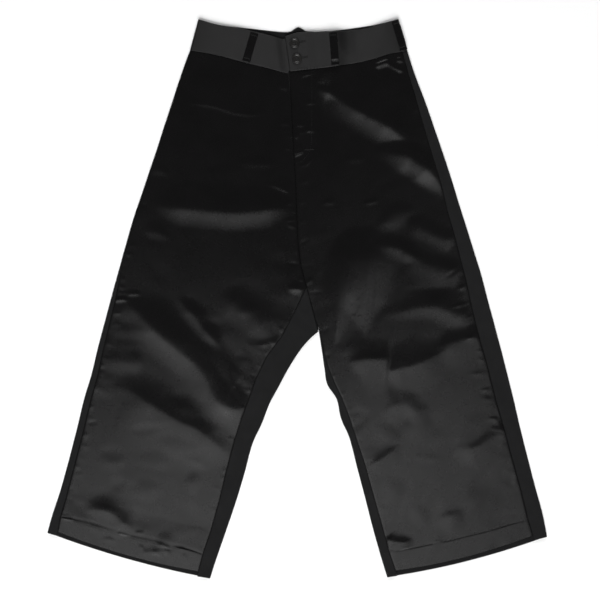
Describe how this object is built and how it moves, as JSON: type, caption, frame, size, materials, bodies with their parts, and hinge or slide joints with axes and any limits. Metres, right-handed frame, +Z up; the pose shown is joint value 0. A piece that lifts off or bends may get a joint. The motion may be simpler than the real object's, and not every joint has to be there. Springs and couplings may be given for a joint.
{
  "type": "wide-leg trousers laid flat",
  "caption": "Wide-leg trousers laid flat on their back, with satin fronts, matte backs, a buttoned satin waistband, belt loops and turned-up hems.",
  "frame": {"origin": "middle of the laid garment's outline, on the surface that it lies on", "axes": "+Y towards the waist, +Z up out of the front, so the wearer's right leg is at -X"},
  "size_m": [0.898, 1.004, 0.0134],
  "materials": {
    "satin": "black satin, glossy along the weave",
    "matte_cloth": "black, fine and matte",
    "button": "black, softly polished"
  },
  "bodies": {
    "root": {"front_right": "satin", "front_left": "satin", "back_right": "matte_cloth", "back_left": "matte_cloth", "waistband_right": "satin", "waistband_left": "satin", "waistband_back": "satin", "loop_front_right": "satin", "loop_front_left": "satin", "loop_side_left": "satin", "loop_side_right": "satin", "loop_centre_back": "satin", "button_top": "button", "button_bottom": "button"}
  },
  "joints": []
}
